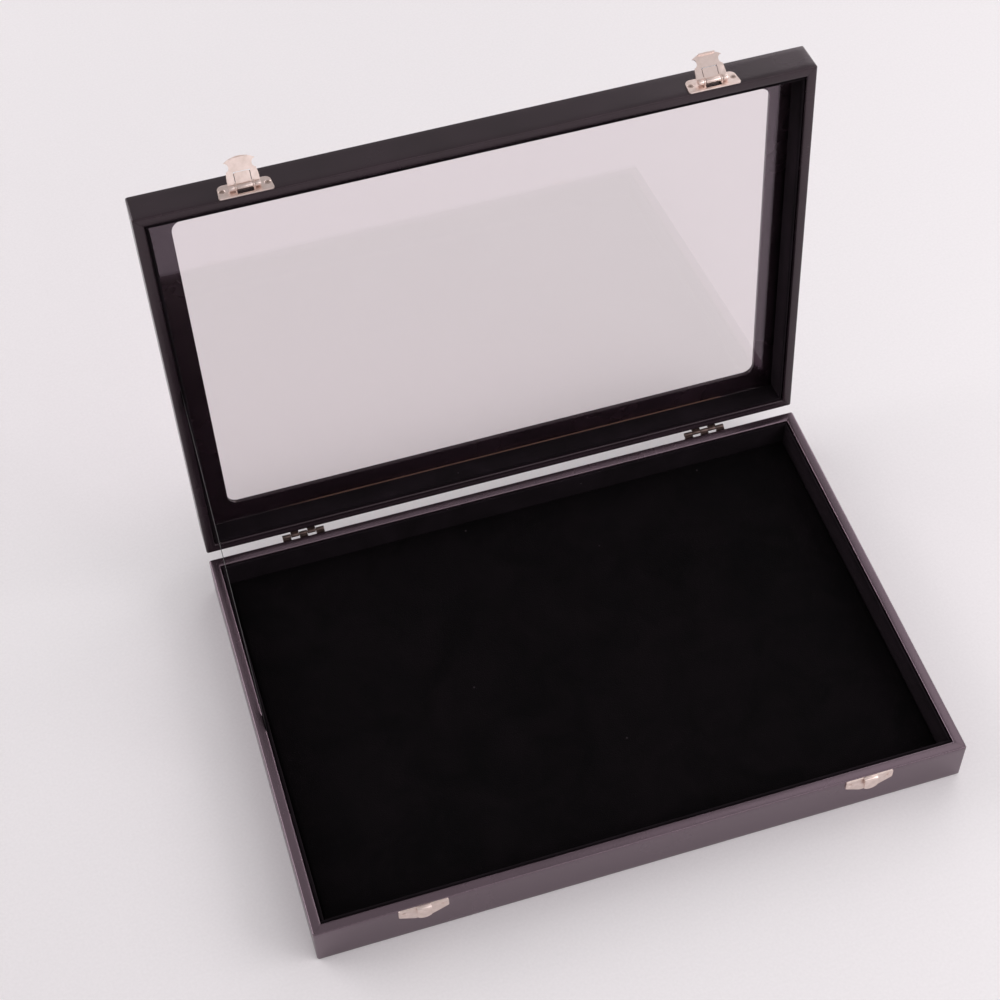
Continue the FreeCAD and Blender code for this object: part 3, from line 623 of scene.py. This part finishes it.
def floor_pad():
    """Foam pad covered in velvet, its cover drawn down round the edges."""
    low, high = base_box("base_floor_pad")
    xs = pad_lines(low.x, high.x)
    ys = pad_lines(low.y, high.y)
    columns = len(xs)
    points = [(x, y, pad_height(x, y, high)) for y in ys for x in xs]
    upper = len(points)
    points += [(x, y, low.z) for y in ys for x in xs]
    faces = []
    for row in range(len(ys) - 1):
        for column in range(columns - 1):
            a = row * columns + column
            quad = (a, a + 1, a + columns + 1, a + columns)
            faces.append(quad)
            faces.append(tuple(upper + i for i in reversed(quad)))
    rim = (list(range(columns)) + [columns * row + columns - 1 for row in range(1, len(ys))]
           + [columns * (len(ys) - 1) + i for i in range(columns - 2, -1, -1)]
           + [columns * row for row in range(len(ys) - 2, 0, -1)])
    for i, a in enumerate(rim):
        b = rim[(i + 1) % len(rim)]
        faces.append((a, b, upper + b, upper + a))
    piece = make_piece("velvet_floor_pad", points, faces, FLOOR_VELVET, sharp=PAD_SHARP_FROM)
    fit(piece, "base", "base_floor_pad")


# ---- ribbon stay --------------------------------------------------------------------------
def ribbon_stay():
    """Satin ribbon, pulled straight from the base's left slit to the lid's."""
    ends = sorted((v.co / MM for v in frame["nodes"]["lid_stay_ribbon"].data.vertices),
                  key=lambda p: p.y + p.z)
    half = len(ends) // 2
    lower = sum(ends[:half], Vector()) / half
    upper = sum(ends[half:], Vector()) / half
    along = (upper - lower).normalized()
    width = max((p - lower - along * (p - lower).dot(along)).length for p in ends[:half])
    outward = Vector((1, 0, 0))
    across = along.cross(outward).normalized()
    ribbon_low, ribbon_high = base_box("lid_stay_ribbon")
    thick = (ribbon_high.x - ribbon_low.x) / 2
    points = []
    for step in range(RIBBON_STEPS + 1):
        share = step / RIBBON_STEPS
        centre = lower.lerp(upper, share)
        for face in (1, -1):
            for column in range(RIBBON_ACROSS + 1):
                place = (2 * column / RIBBON_ACROSS - 1) * face
                edge = width * (1 - abs(place))
                rise = thick * (1.0 if edge < SELVEDGE else RIBBON_THIN)
                if abs(place) == 1:
                    rise = thick * RIBBON_EDGE
                points.append(centre + across * place * width + outward * rise * face)
    faces = tube_faces(RIBBON_STEPS + 1, 2 * (RIBBON_ACROSS + 1))
    piece = make_piece("ribbon_stay", points, faces, RIBBON)
    layer = piece.data.uv_layers.new(name="weave")
    for loop in piece.data.loops:
        corner = piece.data.vertices[loop.vertex_index].co / MM
        layer.data[loop.index].uv = ((corner - lower).dot(across), (corner - lower).dot(along))
    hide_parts("lid_stay_ribbon")
    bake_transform(piece)


# ---- fittings and boards kept from the frame ----------------------------------------------
def finish_nodes():
    """Give the carried-over parts their finishes and break their sharp edges."""
    boards = ["base_bottom_board", "base_floor_card", "lid_window_panel"]
    boards += [f"{body}_{wall}_wall" for body in ("base", "lid") for wall in WALLS]
    fittings = ["catch_plate", "latch_plate", "latch_pin", "latch_lever", "latch_tongue"]
    hinges = ["base_hinge_leaf", "lid_hinge_leaf", "hinge_pin"]
    nickel = [f"{name}_{side}" for name in fittings for side in SIDES]
    # The hinge parts take the darkened nickel, which paints their shade.
    hinge_parts_shaded = [f"{name}_{side}" for name in hinges for side in SIDES]
    screws = ["base_hinge_screws", "lid_hinge_screws", "latch_screws"]
    finishes = [(boards, WALL_BOARD, 0.0), (nickel, NICKEL, STEEL_EDGE), (hinge_parts_shaded, HINGE_NICKEL_SHADED, STEEL_EDGE),
                (screws, SCREW_STEEL, SCREW_EDGE), (["catch_screws"], NICKEL, SCREW_EDGE),
                (["lid_glass"], GLASS, GLASS_EDGE), (["glass_packing_strip"], RAW_CARD, CARD_EDGE),
                (["base_under_sheet"], BLACK_PAPER, CARD_EDGE)]
    for names, material, break_edge in finishes:
        for name in names:
            node = frame["nodes"][name]
            node.data.materials.clear()
            node.data.materials.append(material)
            if break_edge:
                node.modifiers.new("join", "WELD").merge_threshold = WELD_GAP * MM
                bevel = node.modifiers.new("edge", "BEVEL")
                bevel.width = break_edge * MM
                bevel.segments = 2
                bevel.limit_method = "ANGLE"
                bevel.angle_limit = math.radians(EDGE_FROM)


base_covering()
lid_covering()
for wall in WALLS:
    base_node = f"base_liner_{wall}"
    velvet_strip(f"base_velvet_{wall}", *base_box(base_node), None, "base", base_node)
    lid_node = f"lid_liner_{wall}"
    velvet_strip(f"lid_velvet_{wall}", *shut_box(lid_node), OPEN, "lid", lid_node)
floor_pad()
ribbon_stay()
finish_nodes()


# ---- studio -------------------------------------------------------------------------------
VIEW_AZIMUTH = -15.71
VIEW_ELEVATION = 52.183
VIEW_ROLL = -1.885
VIEW_DISTANCE = 1181.44
VIEW_AIM = (-7.51, 110.29, BASE_HIGH.z)
LENS = 74.658
SENSOR = 36.0
FLOOR_REACH = 6000.0
ROOM_LIGHT = 0.47
LAMP_WHITE = "#fffbfd"


def studio_floor():
    """Large sheet of pale paper under the case."""
    points = [(x * FLOOR_REACH, y * FLOOR_REACH, 0) for x, y in ((-1, -1), (1, -1), (1, 1), (-1, 1))]
    make_piece("studio_floor", points, [(0, 1, 2, 3)], studio_paper())


def softbox(name, place, aim, width, height, power):
    """Rectangular lamp at a place, turned to an aim, with its power in watts."""
    light = bpy.data.lights.new(name, "AREA")
    light.shape = "RECTANGLE"
    light.size = width * MM
    light.size_y = height * MM
    light.energy = power
    light.color = linear(LAMP_WHITE)[:3]
    lamp = bpy.data.objects.new(name, light)
    lamp.location = Vector(place) * MM
    direction = Vector(aim) * MM - lamp.location
    lamp.rotation_euler = direction.to_track_quat("-Z", "Y").to_euler()
    bpy.context.scene.collection.objects.link(lamp)


def studio_light():
    """Even white room with a key softbox on the right and others in front, overhead and behind."""
    world = bpy.data.worlds.new("studio")
    bpy.context.scene.world = world
    world.use_nodes = True
    tree = world.node_tree
    tree.nodes["Background"].inputs["Color"].default_value = linear("#fdf9fb")
    tree.nodes["Background"].inputs["Strength"].default_value = ROOM_LIGHT
    softbox("key_softbox", (1200, -650, 800), (0, -50, 0), 1200, 900, 10.5)
    softbox("front_softbox", (450, -1450, 1300), (0, 0, 0), 900, 700, 3.2)
    softbox("overhead_softbox", (750, 380, 1300), (0, 0, 0), 800, 800, 1.3)
    softbox("left_softbox", (-1400, 1000, 800), (0, 300, 0), 1600, 1000, 13)
    softbox("rear_softbox", (1300, 1400, 700), (0, 300, 0), 1400, 1000, 8)


def camera():
    """Camera on a sphere round its aim, given by azimuth, elevation, roll and distance."""
    azimuth = math.radians(VIEW_AZIMUTH)
    elevation = math.radians(VIEW_ELEVATION)
    roll = math.radians(VIEW_ROLL)
    back = Vector((math.sin(azimuth) * math.cos(elevation), -math.cos(azimuth) * math.cos(elevation),
                   math.sin(elevation)))
    level = (-back).cross(Vector((0, 0, 1))).normalized()
    upright = level.cross(-back)
    right = math.cos(roll) * level + math.sin(roll) * upright
    up = -math.sin(roll) * level + math.cos(roll) * upright
    turn = Matrix((right, up, back)).transposed().to_4x4()
    data = bpy.data.cameras.new("camera")
    data.lens = LENS
    data.sensor_width = SENSOR
    eye = bpy.data.objects.new("camera", data)
    eye.matrix_world = Matrix.Translation((Vector(VIEW_AIM) + back * VIEW_DISTANCE) * MM) @ turn
    bpy.context.scene.collection.objects.link(eye)
    bpy.context.scene.camera = eye


studio_floor()
studio_light()
camera()
bpy.context.scene.view_settings.view_transform = "Standard"
